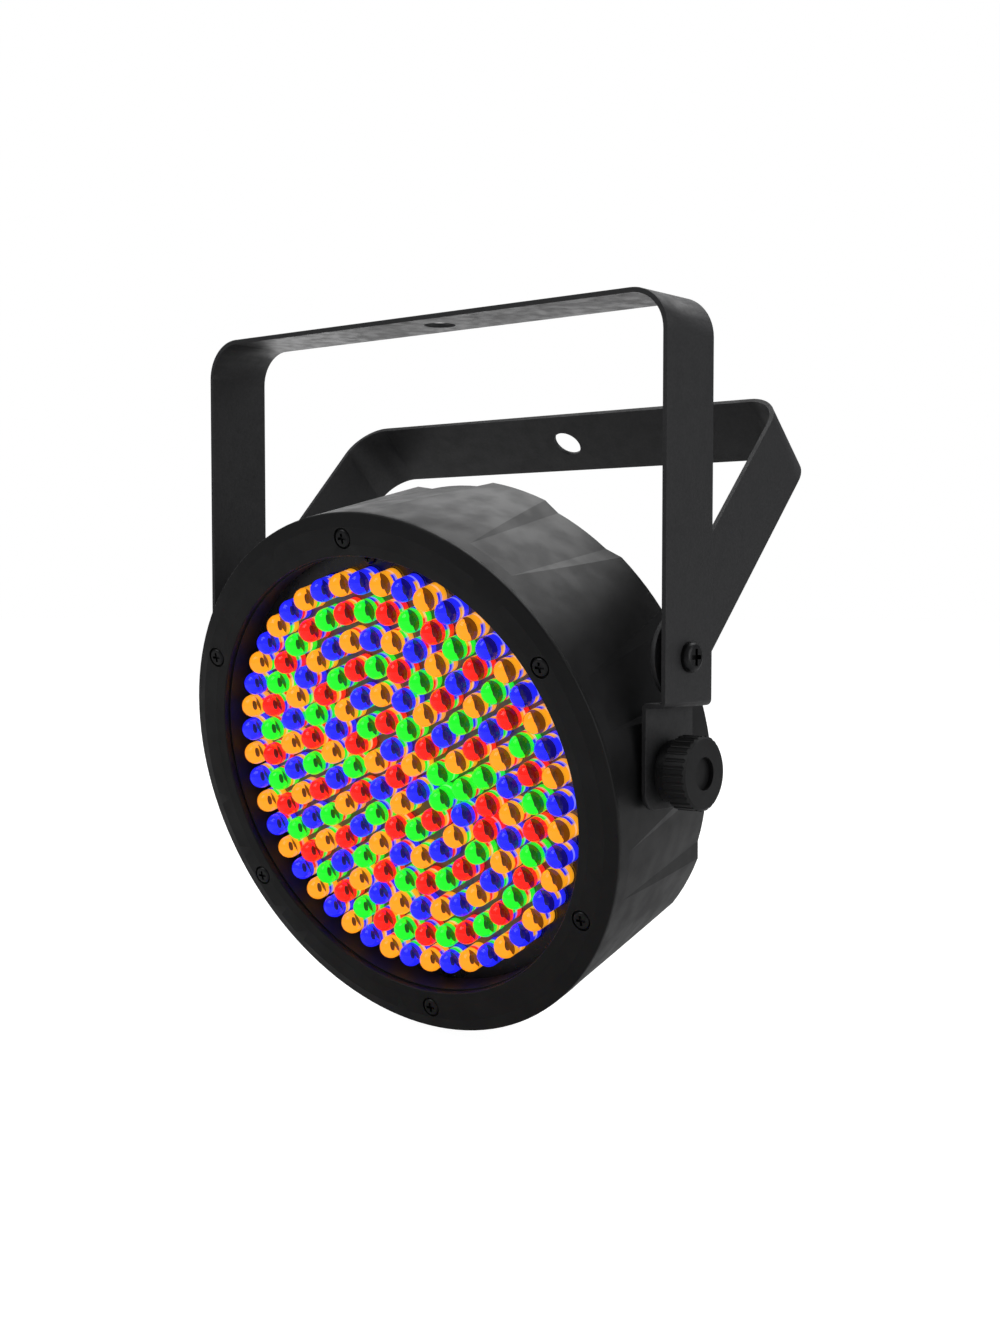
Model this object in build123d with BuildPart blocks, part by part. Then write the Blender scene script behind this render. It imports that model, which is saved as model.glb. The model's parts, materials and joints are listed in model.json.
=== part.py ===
from build123d import *
import os
from math import cos, pi, radians, sin

# LED par light on a double bracket, in millimetres.
# Origin: centre of the hang hole, on the top face of the yoke's bar. +Z is up, the beam points to -Y
# and +X is the lamp's right-hand side as seen from behind. The drum is drawn tilted, as it hangs.

SIDES = (-1, 1)
RUNNING = 0.08  # radial clearance of a turning shaft
LOOSE = 0.15  # gap round a piece that sits in a cut-out

# Brackets
STRAP = 2.0  # sheet thickness
STRAP_WIDTH = 33.0
BAR_BEND = 17.0  # outer bend radius between arm and bar
YOKE_WIDTH = 254.5  # over the arms
YOKE_DROP = 186.5  # top of the bar to the tilt axis
JOGGLE_IN = 8.8  # how far the knob tabs step in
JOGGLE_RISE = 25.5  # underside of the step above the tilt axis
TAB_DROP = 14.5  # end of the tab below the tilt axis
TAB_CORNER = 7.0
HANG_HOLE = 6.75  # radius, clears an M12 bolt
PIVOT_RISE = 45.0  # kickstand pivot above the tilt axis
KICK_WIDTH = 244.5
KICK_LENGTH = 134.0  # pivot to the bar's outer face
KICK_LEAN = 44.0  # degrees back from vertical
ARM = YOKE_WIDTH / 2  # outer face of the yoke's arm
TAB = ARM - JOGGLE_IN  # outer face of the knob tab
PIVOT_Z = PIVOT_RISE - YOKE_DROP

# Drum, measured along the beam from the tilt axis
TILT = 15.0  # degrees of downward tilt
FACE = 35.0  # front of the bezel
BACK = -40.0  # rear face
RIM_RADIUS = 115.0
BACK_RADIUS = 112.5
WALL = 2.6
BEZEL_DEPTH = 3.5
BEZEL_HOLE = 97.0
BEZEL_SCREW_CIRCLE = 104.5
RIM = FACE - BEZEL_DEPTH  # where the bezel meets the shell
SLEEVE_FLANGE = 1.5
SLEEVE_HOLE = 96.3
SLEEVE_WALL = 2.0
BOSS_TOP = RIM - SLEEVE_FLANGE
FLUTES = 10
FLUTE_START = 28.75  # where a flute begins as a line, near the front
FLUTE_FRONT_HALF = 5.5  # degrees, half width of the flute floor at its start
FLUTE_BACK_HALF = 7.0  # degrees, the same at the rear
FLUTE_FLOOR = 110.0  # floor radius at the rear
FLUTE_EDGE_HALF = 11.0  # degrees, half width over the flute's edges at the rear
BACK_WALL = 4.0
COVER = 2.0
COVER_RADIUS = 98.7
COVER_SCREW_CIRCLE = 94.0
COVER_OPENING = 88.0
TILT_PAD = 115.0  # outer face of the side pads
TILT_PAD_RADIUS = 13.0

# LEDs
LED_RADIUS = 5.0
LED_FLANGE = 5.5
LED_TIP = FACE - 0.75
LED_HEIGHT = 13.6
LED_PITCH = 12.07  # ring to ring
BOARD_FRONT = LED_TIP - LED_HEIGHT
BOARD = 1.6
BOARD_BACK = BOARD_FRONT - BOARD
BOARD_RADIUS = 99.0
LUG_CIRCLE = 93.2
RINGS = (
    "R",
    "BA" * 3,
    "RGRGGRGRGRGRG",
    "ABABAG" + "BA" * 6 + "B",
    "GRGRGRGRR" + "GR" * 8,
    "BA" * 16,
    "GR" * 19,
    "BA" * 23,
)

# Inner plate and electronics
CHASSIS_FRONT = 5.0
CHASSIS = 1.2
CHASSIS_BACK = CHASSIS_FRONT - CHASSIS
PSU_STANDOFF = 4.0
PSU_BACK = CHASSIS_BACK - PSU_STANDOFF - BOARD
CONTROL_GAP = 8.4  # control board behind the rear cover
BUTTON_DEPTH = 6.0  # inner end of a button below the rear face
BUTTON_TRAVEL = 0.5
SWITCH_HEIGHT = COVER + CONTROL_GAP - BUTTON_DEPTH - BUTTON_TRAVEL - 0.02

# Knobs
STUD = 3.0
KNOB_WASHER = 1.5
KNOB_BASE = TAB + KNOB_WASHER
KNOB_DEPTH = 14.7
KNOB_RADIUS = 14.75
KNOB_HUB = 12.5
KNOB_HUB_DEPTH = 5.0
KNOB_FLUTES = 30
INSERT_RADIUS = 4.6
INSERT_LENGTH = 11.0

# Rear panel layout: x to the right and y up, seen from behind
DISPLAY_AT = (0, 38)
WINDOW_SIZE = (50, 18)
BUTTON_XS = (-27, -9, 9, 27)
BUTTON_Y = 14
BUTTON_RADIUS = 4.5
DMX_IN_AT = (-50, -20)
DMX_OUT_AT = (-18, -20)
DMX_RADIUS = 12.0
INLET_AT = (30, -20)
INLET_SIZE = (27, 19.5)
SWITCH_AT = (66, -20)
SWITCH_SIZE = (12.8, 19)
FUSE_AT = (60, 14)
IR_AT = (-36, 38)
SAFETY_AT = (0, 72)
VENT_YS = (-54, -61, -68)


# ---------------------------------------------------------------- planes


def plane_at(plane, x, y, z=0):
    """The same plane moved to a point given in its own axes."""
    return Plane(origin=plane.from_local_coords((x, y, z)), x_dir=plane.x_dir, z_dir=plane.z_dir)


def section_of(plane):
    """Plane for turned profiles: x is the radius, y runs along the given plane's normal."""
    return Plane(origin=plane.origin, x_dir=plane.x_dir, z_dir=-plane.y_dir)


def axis_of(plane):
    return Axis(plane.origin, plane.z_dir)


def side_plane(side, x, z):
    """Plane facing outwards on one side of the lamp, at distance x from its middle."""
    return Plane(origin=(side * x, 0, z), x_dir=(0, side, 0), z_dir=(side, 0, 0))


def polar(plane, radius, count, start, z):
    """Planes on a circle, the first at start degrees clockwise from the top."""
    turns = [radians(start + 360 * i / count) for i in range(count)]
    return [plane_at(plane, radius * sin(a), radius * cos(a), z) for a in turns]


def back_at(spot, z=0):
    """Plane on the rear panel, z outwards from its outer face."""
    return plane_at(REAR, spot[0], spot[1], z)


def shifted(spot, dx, dy):
    return (spot[0] + dx, spot[1] + dy)


lean = radians(KICK_LEAN)
tilt = radians(TILT)
DRUM = Plane(origin=(0, 0, -YOKE_DROP), x_dir=(1, 0, 0), z_dir=(0, -cos(tilt), -sin(tilt)))
REAR = Plane(origin=DRUM.from_local_coords((0, 0, BACK)), x_dir=(-1, 0, 0), z_dir=-DRUM.z_dir)
KICK = Plane(origin=(0, 0, PIVOT_Z), x_dir=(1, 0, 0), z_dir=(0, -cos(lean), sin(lean)))
KICK_UP = Vector(0, sin(lean), cos(lean))
KICK_BAR = Plane(origin=KICK.origin + KICK_UP * KICK_LENGTH, x_dir=(1, 0, 0), z_dir=KICK_UP)

BEZEL_SCREWS = polar(DRUM, BEZEL_SCREW_CIRCLE, 6, 0, 0)
LUGS = polar(DRUM, LUG_CIRCLE, 6, 0, 0)
COVER_SCREWS = polar(REAR, COVER_SCREW_CIRCLE, 8, 22.5, 0)
PSU_CORNERS = [(x, 34 + y) for x in (-45, 45) for y in (-23, 23)]


# ---------------------------------------------------------------- shared shapes


def screws(seats, head, head_height, shank, length):
    """Pan-head cross-recess screws as separate solids, one on each seat plane."""
    with BuildPart() as group:
        for seat in seats:
            with BuildSketch(section_of(seat)):
                with BuildLine():
                    Polyline((0, head_height), (0, -length), (shank, -length), (shank, 0), (head, 0))
                    Line((head, 0), (head, 0.35 * head_height))
                    RadiusArc((head, 0.35 * head_height), (0.66 * head, head_height), -0.66 * head_height)
                    Line((0.66 * head, head_height), (0, head_height))
                make_face()
            revolve(axis=axis_of(seat))
            with BuildSketch(seat.offset(head_height)):
                Rectangle(1.1 * head, 0.28 * head)
                Rectangle(0.28 * head, 1.1 * head)
            extrude(amount=-0.6 * head_height, mode=Mode.SUBTRACT)
    return group.part


def rings(seats, outer, inner, thickness):
    """Flat washers as separate solids, each standing on its seat plane."""
    with BuildPart() as group:
        for seat in seats:
            with BuildSketch(seat):
                Circle(outer)
                Circle(inner, mode=Mode.SUBTRACT)
        extrude(amount=thickness)
    return group.part


def u_strap(plane, outline, bends, width):
    """Bent strap: the outer line with a bend radius at each corner, thickened inwards."""
    with BuildPart() as strap:
        with BuildSketch(plane):
            with BuildLine() as line:
                Polyline(*outline)
                for corner, radius in bends:
                    fillet(line.vertices().sort_by_distance((*corner, 0))[0], radius)
                offset(amount=STRAP, side=Side.RIGHT)
            make_face()
        extrude(amount=width / 2, both=True)
    return strap.part


# ---------------------------------------------------------------- brackets


def main_yoke():
    """Outer bracket: arms joggled in to the two knob tabs, hang hole in the bar."""
    step = JOGGLE_RISE - YOKE_DROP
    end = -YOKE_DROP - TAB_DROP
    outline = [(-TAB, end), (-TAB, step), (-ARM, step), (-ARM, 0)]
    outline += [(-x, z) for x, z in reversed(outline)]
    bends = [((s * ARM, 0), BAR_BEND) for s in SIDES]
    bends += [((s * ARM, step), STRAP + 0.5) for s in SIDES]
    bends += [((s * TAB, step), 0.5) for s in SIDES]
    strap = u_strap(Plane.XZ, outline, bends, STRAP_WIDTH)
    with BuildPart() as yoke:
        add(strap)
        fillet(yoke.edges().filter_by(Axis.X).group_by(Axis.Z)[0], TAB_CORNER)
        Hole(HANG_HOLE, depth=STRAP)
        with BuildSketch(Plane.YZ):
            with Locations((0, -YOKE_DROP), (0, PIVOT_Z)):
                Circle(STUD + RUNNING)
        extrude(amount=ARM + 1, both=True, mode=Mode.SUBTRACT)
    return yoke.part


def kickstand_yoke():
    """Inner bracket that pivots on the arms of the outer one."""
    half = KICK_WIDTH / 2
    outline = [(-half, 0), (-half, KICK_LENGTH), (half, KICK_LENGTH), (half, 0)]
    bends = [((s * half, KICK_LENGTH), BAR_BEND) for s in SIDES]
    strap = u_strap(KICK, outline, bends, STRAP_WIDTH)
    with BuildPart() as stand:
        add(strap)
        for side in SIDES:
            with BuildSketch(side_plane(side, half, PIVOT_Z)):
                Circle(STRAP_WIDTH / 2)
        extrude(amount=-STRAP)
        with BuildSketch(KICK_BAR):
            Circle(HANG_HOLE)
        extrude(amount=-STRAP, mode=Mode.SUBTRACT)
        with BuildSketch(Plane.YZ):
            with Locations((0, PIVOT_Z)):
                Circle(STUD + RUNNING)
        extrude(amount=ARM + 1, both=True, mode=Mode.SUBTRACT)
    return stand.part


# ---------------------------------------------------------------- kickstand pivots

NUT = 4.0
PIVOT_WASHER = 1.0
KICK_INSIDE = KICK_WIDTH / 2 - STRAP


def pivot_bolts():
    seats = [side_plane(side, ARM, PIVOT_Z) for side in SIDES]
    length = ARM - KICK_INSIDE + PIVOT_WASHER + NUT
    return screws(seats, 6.0, 3.4, STUD, length)


def pivot_spacers():
    """Nylon discs that keep the two brackets apart."""
    gap = ARM - STRAP - KICK_WIDTH / 2
    seats = [side_plane(side, KICK_WIDTH / 2, PIVOT_Z) for side in SIDES]
    return rings(seats, 9.0, STUD + RUNNING, gap)


def pivot_washers():
    seats = [side_plane(side, KICK_INSIDE - PIVOT_WASHER, PIVOT_Z) for side in SIDES]
    return rings(seats, 6.2, STUD + RUNNING, PIVOT_WASHER)


def pivot_nuts():
    with BuildPart() as nuts:
        for side in SIDES:
            with BuildSketch(side_plane(side, KICK_INSIDE - PIVOT_WASHER, PIVOT_Z)):
                RegularPolygon(radius=5.0, side_count=6, major_radius=False)
                Circle(STUD + 0.01, mode=Mode.SUBTRACT)
        extrude(amount=-NUT)
    return nuts.part


# ---------------------------------------------------------------- tilt knobs


def knob_washers():
    seats = [side_plane(side, TAB, -YOKE_DROP) for side in SIDES]
    return rings(seats, 9.5, STUD + RUNNING, KNOB_WASHER)


def knob_grip(side):
    """Fluted thumb knob on a plain hub, with a round recess in its face."""
    base = side_plane(side, KNOB_BASE, -YOKE_DROP)
    stud_hole = 10.0
    with BuildPart() as knob:
        with BuildSketch(base):
            Circle(KNOB_HUB)
        extrude(amount=KNOB_HUB_DEPTH)
        with BuildSketch(base.offset(KNOB_HUB_DEPTH)):
            Circle(KNOB_RADIUS)
            with PolarLocations(KNOB_RADIUS + 0.35, KNOB_FLUTES):
                Circle(0.85, mode=Mode.SUBTRACT)
        extrude(amount=KNOB_DEPTH - KNOB_HUB_DEPTH)
        face = base.offset(KNOB_DEPTH)
        with BuildSketch(section_of(face)):
            with BuildLine():
                Polyline((KNOB_RADIUS - 1.3, 0.1), (KNOB_RADIUS + 1, 0.1), (KNOB_RADIUS + 1, -1.6), close=True)
            make_face()
        revolve(axis=axis_of(face), mode=Mode.SUBTRACT)
        with BuildSketch(face):
            Circle(6.5)
        extrude(amount=-2.0, mode=Mode.SUBTRACT)
        with BuildSketch(base):
            Circle(STUD + 0.01)
        extrude(amount=stud_hole, mode=Mode.SUBTRACT)
    return knob.part


def knob_stud(side):
    """Steel stud moulded into the knob; its thread runs in the drum's insert."""
    inner = TILT_PAD - INSERT_LENGTH - 0.5
    with BuildPart() as stud:
        with BuildSketch(side_plane(side, inner, -YOKE_DROP)):
            Circle(STUD)
        extrude(amount=KNOB_BASE + 9.9 - inner)
        chamfer(stud.edges().filter_by(GeomType.CIRCLE), 0.6)
    return stud.part


def tilt_inserts():
    """Threaded brass inserts in the drum's side bosses."""
    seats = [side_plane(side, TILT_PAD - INSERT_LENGTH, -YOKE_DROP) for side in SIDES]
    return rings(seats, INSERT_RADIUS, STUD + RUNNING, INSERT_LENGTH)


def tilt_friction_washers():
    seats = [side_plane(side, TILT_PAD, -YOKE_DROP) for side in SIDES]
    return rings(seats, 12.0, INSERT_RADIUS - 0.4, TAB - STRAP - TILT_PAD)


# ---------------------------------------------------------------- drum shell


def flute_section(z, floor, half, wall_to, wall_half, reach):
    """Cutter outline across one flute at depth z: an arc floor with two sloping walls."""

    def point(radius, angle):
        return (radius * sin(radians(angle)), radius * cos(radians(angle)))

    inner = [point(floor, a) for a in (-half, 0, half)]
    edge = point(wall_to, wall_half)
    slope = (edge[0] - inner[2][0], edge[1] - inner[2][1])
    outer = (inner[2][0] + reach * slope[0], inner[2][1] + reach * slope[1])
    top = (outer[0] ** 2 + outer[1] ** 2) ** 0.5
    with BuildSketch(DRUM.offset(z)) as section:
        with BuildLine():
            ThreePointArc(*inner)
            Line(inner[2], outer)
            ThreePointArc(outer, (0, top), (-outer[0], outer[1]))
            Line((-outer[0], outer[1]), inner[0])
        make_face()
    return section.sketch


def flute_cutter():
    """One flute, running out to nothing near the front rim."""
    front = flute_section(FLUTE_START, RIM_RADIUS + 0.05, FLUTE_FRONT_HALF, RIM_RADIUS + 2.4, 9.0, 0.6)
    back = flute_section(BACK - 0.5, FLUTE_FLOOR, FLUTE_BACK_HALF, BACK_RADIUS, FLUTE_EDGE_HALF, 2.2)
    with BuildPart() as cutter:
        loft([front, back], ruled=True)
    return cutter.part


def drum_shell():
    """Moulded body: fluted skin, rear wall, stepped screw bosses and the two tilt bosses."""
    section = section_of(DRUM)
    inside_front = RIM_RADIUS - WALL - 0.1
    inside_back = FLUTE_FLOOR - WALL
    cutter = flute_cutter()
    with BuildPart() as shell:
        with BuildSketch(section):
            with BuildLine():
                Polyline((0, BACK), (BACK_RADIUS, BACK), (RIM_RADIUS, RIM), (0, RIM), close=True)
            make_face()
        revolve(axis=axis_of(DRUM))
        for i in range(FLUTES):
            add(cutter.rotate(axis_of(DRUM), i * 360 / FLUTES), mode=Mode.SUBTRACT)
        with BuildSketch(section):
            with BuildLine():
                Polyline(
                    (0, BACK + BACK_WALL), (inside_back, BACK + BACK_WALL), (inside_front, RIM), (0, RIM), close=True
                )
            make_face()
        revolve(axis=axis_of(DRUM), mode=Mode.SUBTRACT)
        with BuildSketch(REAR):
            Circle(COVER_OPENING)
        extrude(amount=-BACK_WALL, mode=Mode.SUBTRACT)
        with BuildSketch(REAR):
            Circle(COVER_RADIUS + LOOSE)
        extrude(amount=-COVER, mode=Mode.SUBTRACT)
        # bezel bosses with a lug for the boards
        for low, high, inner in ((CHASSIS_FRONT, BOSS_TOP, 100.0), (CHASSIS_FRONT, BOARD_BACK, 88.5)):
            outer = RIM_RADIUS - 2.2
            with BuildSketch(DRUM.offset(low)):
                with PolarLocations((inner + outer) / 2, 6, start_angle=90):
                    Rectangle(outer - inner, 9.5)
            extrude(amount=high - low)
        # cover screw bosses
        for seat in COVER_SCREWS:
            with BuildSketch(seat.offset(-BACK_WALL)):
                Circle(4.0)
            extrude(amount=-8.0)
        # tilt pads outside, bosses inside
        for side in SIDES:
            with BuildSketch(side_plane(side, TILT_PAD, -YOKE_DROP)):
                Circle(TILT_PAD_RADIUS)
            extrude(amount=-4.5)
            with BuildSketch(side_plane(side, TILT_PAD, -YOKE_DROP)):
                Circle(10.0)
            extrude(amount=-15.5)
            with BuildSketch(side_plane(side, TILT_PAD, -YOKE_DROP)):
                Circle(INSERT_RADIUS)
            extrude(amount=-INSERT_LENGTH - 1.5, mode=Mode.SUBTRACT)
        # screw holes
        for spot in BEZEL_SCREWS:
            with BuildSketch(plane_at(spot, 0, 0, BOSS_TOP)):
                Circle(1.9)
            extrude(amount=-18.0, mode=Mode.SUBTRACT)
        for spot in LUGS:
            with BuildSketch(plane_at(spot, 0, 0, BOARD_BACK)):
                Circle(1.25)
            extrude(amount=CHASSIS_FRONT - BOARD_BACK, mode=Mode.SUBTRACT)
        for seat in COVER_SCREWS:
            with BuildSketch(seat.offset(-COVER)):
                Circle(1.25)
            extrude(amount=-8.0, mode=Mode.SUBTRACT)
    return shell.part


# ---------------------------------------------------------------- front


def front_bezel():
    """Flat ring, slightly dished inside the screw circle, with a bevelled rim."""
    with BuildPart() as bezel:
        with BuildSketch(section_of(DRUM)):
            with BuildLine():
                Polyline((BEZEL_HOLE + 0.6, FACE - 0.4), (101.8, FACE), (109.2, FACE), (114.4, FACE - 1.6))
                ThreePointArc(
                    (114.4, FACE - 1.6), (RIM_RADIUS - 0.17, FACE - 1.85), (RIM_RADIUS, FACE - 2.2)
                )
                Polyline((RIM_RADIUS, FACE - 2.2), (RIM_RADIUS, RIM), (BEZEL_HOLE, RIM), (BEZEL_HOLE, FACE - 1.0))
                ThreePointArc(
                    (BEZEL_HOLE, FACE - 1.0), (BEZEL_HOLE + 0.18, FACE - 0.58), (BEZEL_HOLE + 0.6, FACE - 0.4)
                )
            make_face()
        revolve(axis=axis_of(DRUM))
        for spot in BEZEL_SCREWS:
            with BuildSketch(plane_at(spot, 0, 0, FACE)):
                Circle(4.5)
            extrude(amount=-1.6, mode=Mode.SUBTRACT)
            with BuildSketch(plane_at(spot, 0, 0, FACE)):
                Circle(2.2)
            extrude(amount=-BEZEL_DEPTH, mode=Mode.SUBTRACT)
    return bezel.part


def bezel_screws():
    seats = [plane_at(spot, 0, 0, FACE - 1.6) for spot in BEZEL_SCREWS]
    return screws(seats, 3.9, 1.8, 1.88, 16.0)


def led_sleeve():
    """Black sleeve that lines the opening from the LED board up, clamped by its flange."""
    outer = SLEEVE_HOLE + SLEEVE_WALL
    rim = RIM_RADIUS - WALL - 0.5
    with BuildPart() as sleeve:
        with BuildSketch(section_of(DRUM)):
            with BuildLine():
                Polyline((SLEEVE_HOLE, BOARD_FRONT), (SLEEVE_HOLE, RIM), (rim, RIM), (rim, BOSS_TOP))
                Polyline((rim, BOSS_TOP), (outer, BOSS_TOP), (outer, BOARD_FRONT), (SLEEVE_HOLE, BOARD_FRONT))
            make_face()
        revolve(axis=axis_of(DRUM))
        with BuildSketch(DRUM.offset(BOSS_TOP)):
            with PolarLocations(BEZEL_SCREW_CIRCLE, 6, start_angle=90):
                Circle(2.2)
        extrude(amount=SLEEVE_FLANGE, mode=Mode.SUBTRACT)
    return sleeve.part


def led_spots(colour):
    """Where the LEDs of one colour stand: ring by ring, clockwise from the top."""
    spots = []
    for ring, colours in enumerate(RINGS):
        for i, mark in enumerate(colours):
            if mark == colour:
                a = 2 * pi * i / len(colours)
                spots.append(plane_at(DRUM, ring * LED_PITCH * sin(a), ring * LED_PITCH * cos(a), BOARD_FRONT))
    return spots


def leds(colour):
    """All LEDs of one colour: 10 mm round bodies with a flange, as separate solids."""
    shoulder = LED_HEIGHT - LED_RADIUS
    with BuildPart() as led:
        with BuildSketch(Plane.XZ):
            with BuildLine():
                Polyline((0, LED_HEIGHT), (0, 0), (LED_FLANGE, 0), (LED_FLANGE, 1.0), (LED_RADIUS, 1.0))
                Line((LED_RADIUS, 1.0), (LED_RADIUS, shoulder))
                RadiusArc((LED_RADIUS, shoulder), (0, LED_HEIGHT), -LED_RADIUS)
            make_face()
        revolve(axis=Axis.Z)
    with BuildPart() as group:
        with Locations(*led_spots(colour)):
            add(led.part)
    return group.part


def led_board():
    with BuildPart() as board:
        with BuildSketch(DRUM.offset(BOARD_BACK)):
            Circle(BOARD_RADIUS)
            with PolarLocations(LUG_CIRCLE, 6, start_angle=90):
                Circle(1.6, mode=Mode.SUBTRACT)
        extrude(amount=BOARD)
    return board.part


def led_board_screws():
    return screws([plane_at(spot, 0, 0, BOARD_FRONT) for spot in LUGS], 2.8, 1.9, 1.23, 7.0)


def led_board_components():
    """Driver chips and the two plug headers on the back of the LED board."""
    with BuildPart() as parts:
        with BuildSketch(DRUM.offset(BOARD_BACK)):
            with GridLocations(44, 30, 2, 2):
                RectangleRounded(12, 9, 0.8)
        extrude(amount=-2.2)
        with BuildSketch(DRUM.offset(BOARD_BACK)):
            with Locations((-8, 0), (10, 0)):
                Rectangle(12, 6)
        extrude(amount=-6.0)
    return parts.part


# ---------------------------------------------------------------- inner plate and power


def chassis_plate():
    """Steel plate behind the LEDs, with a cable hole in the middle."""
    with BuildPart() as plate:
        with BuildSketch(DRUM.offset(CHASSIS_BACK)):
            Circle(BOARD_RADIUS)
            with PolarLocations(LUG_CIRCLE, 6, start_angle=90):
                Circle(1.6, mode=Mode.SUBTRACT)
            with Locations((0, 0)):
                Circle(8.0, mode=Mode.SUBTRACT)
            with Locations((0, -20)):
                SlotOverall(120, 8, mode=Mode.SUBTRACT)
        extrude(amount=CHASSIS)
    return plate.part


def chassis_screws():
    seats = []
    for spot in LUGS:
        origin = spot.from_local_coords((0, 0, CHASSIS_BACK))
        seats.append(Plane(origin=origin, x_dir=REAR.x_dir, z_dir=REAR.z_dir))
    return screws(seats, 2.8, 1.9, 1.23, 7.0)


def psu_standoffs():
    with BuildPart() as posts:
        for x, y in PSU_CORNERS:
            with BuildSketch(plane_at(DRUM, x, y, PSU_BACK + BOARD)):
                RegularPolygon(radius=2.75, side_count=6, major_radius=False)
        extrude(amount=PSU_STANDOFF)
    return posts.part


def power_supply_board():
    with BuildPart() as board:
        with BuildSketch(plane_at(DRUM, 0, 34, PSU_BACK)):
            RectangleRounded(100, 56, 2)
        extrude(amount=BOARD)
    return board.part


def psu_transformer():
    with BuildPart() as block:
        with BuildSketch(plane_at(DRUM, -10, 36, PSU_BACK)):
            RectangleRounded(26, 22, 1.5)
        extrude(amount=-17.0)
        with BuildSketch(plane_at(DRUM, -10, 36, PSU_BACK - 4.0)):
            Rectangle(20, 27)
        extrude(amount=-9.0)
    return block.part


def psu_capacitors():
    with BuildPart() as cans:
        for x, y, radius, height in ((-36, 38, 8.0, 19.0), (18, 24, 5.0, 15.0), (32, 24, 5.0, 15.0)):
            with BuildSketch(plane_at(DRUM, x, y, PSU_BACK)):
                Circle(radius)
            extrude(amount=-height)
        fillet(cans.edges().filter_by(GeomType.CIRCLE).group_by(axis_of(DRUM))[0], 0.8)
    return cans.part


BATTERY_AT = (0, -56)
CELL_RADIUS = 9.3
BATTERY_LENGTH = 132.0


def battery_end(x):
    """Plane across the battery pack at distance x, with y along the beam."""
    origin = DRUM.from_local_coords((x, BATTERY_AT[1], CHASSIS_BACK - CELL_RADIUS))
    return Plane(origin=origin, x_dir=DRUM.y_dir, z_dir=(1, 0, 0))


def battery_pack():
    """Two rows of round cells in one sleeve."""
    with BuildPart() as pack:
        with BuildSketch(battery_end(-BATTERY_LENGTH / 2)):
            SlotOverall(4 * CELL_RADIUS, 2 * CELL_RADIUS)
        extrude(amount=BATTERY_LENGTH)
    return pack.part


def battery_strap():
    """Steel band over the pack, with two feet on the inner plate."""
    band, width, foot = 0.8, 16.0, 9.0
    with BuildPart() as strap:
        with BuildSketch(battery_end(-width / 2)):
            SlotOverall(4 * CELL_RADIUS + 2 * band, 2 * CELL_RADIUS + 2 * band)
            Rectangle(4 * CELL_RADIUS + 2 * foot, band * 2, align=(Align.CENTER, Align.CENTER))
            SlotOverall(4 * CELL_RADIUS, 2 * CELL_RADIUS, mode=Mode.SUBTRACT)
            with Locations((0, CELL_RADIUS + band)):
                Rectangle(8 * CELL_RADIUS, 2 * band, mode=Mode.SUBTRACT)
        extrude(amount=width)
    return strap.part


# ---------------------------------------------------------------- rear cover


def rear_cover():
    """Flat steel panel with every cut-out for the controls and sockets."""
    with BuildPart() as cover:
        with BuildSketch(REAR):
            Circle(COVER_RADIUS)
            with PolarLocations(COVER_SCREW_CIRCLE, 8, start_angle=22.5):
                Circle(1.7, mode=Mode.SUBTRACT)
            with Locations(DISPLAY_AT):
                Rectangle(*WINDOW_SIZE, mode=Mode.SUBTRACT)
            with Locations(*[(x, BUTTON_Y) for x in BUTTON_XS]):
                Circle(BUTTON_RADIUS + RUNNING, mode=Mode.SUBTRACT)
            with Locations(DMX_IN_AT, DMX_OUT_AT):
                Circle(DMX_RADIUS + LOOSE, mode=Mode.SUBTRACT)
            with Locations(INLET_AT):
                Rectangle(INLET_SIZE[0] + LOOSE, INLET_SIZE[1] + LOOSE, mode=Mode.SUBTRACT)
            with Locations(SWITCH_AT):
                Rectangle(SWITCH_SIZE[0] + LOOSE, SWITCH_SIZE[1] + LOOSE, mode=Mode.SUBTRACT)
            with Locations(FUSE_AT):
                Circle(6.1 + LOOSE, mode=Mode.SUBTRACT)
            with Locations(IR_AT):
                Circle(3.0 + LOOSE, mode=Mode.SUBTRACT)
            with Locations(SAFETY_AT):
                Circle(2.15, mode=Mode.SUBTRACT)
            with Locations(*SOCKET_SCREWS):
                Circle(1.3, mode=Mode.SUBTRACT)
            with Locations(LATCH_AT):
                Rectangle(LATCH_SIZE[0] + 0.4, LATCH_SIZE[1] + 0.4, mode=Mode.SUBTRACT)
            with Locations(*[(0, y) for y in VENT_YS]):
                SlotOverall(50, 3, mode=Mode.SUBTRACT)
        extrude(amount=-COVER)
    return cover.part


SOCKET_SCREWS = [shifted(at, s * 9.5, s * 12) for at in (DMX_IN_AT, DMX_OUT_AT) for s in SIDES]
SOCKET_SCREWS += [shifted(INLET_AT, s * 20, 0) for s in SIDES]


def cover_screws():
    return screws(COVER_SCREWS, 2.9, 1.9, 1.23, 9.0)


def control_board():
    """Board with the display and the button switches, on four posts from the rear cover."""
    with BuildPart() as board:
        with BuildSketch(back_at((0, 28), -COVER - CONTROL_GAP)):
            RectangleRounded(92, 48, 2)
        extrude(amount=-BOARD)
        with BuildSketch(back_at((0, 28), -COVER - CONTROL_GAP)):
            with GridLocations(84, 40, 2, 2):
                Circle(2.5)
        extrude(amount=CONTROL_GAP)
    return board.part


def button_switches():
    with BuildPart() as switches:
        with BuildSketch(back_at((0, 0), -COVER - CONTROL_GAP)):
            with Locations(*[(x, BUTTON_Y) for x in BUTTON_XS]):
                RectangleRounded(6.2, 6.2, 0.5)
        extrude(amount=SWITCH_HEIGHT)
    return switches.part


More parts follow.
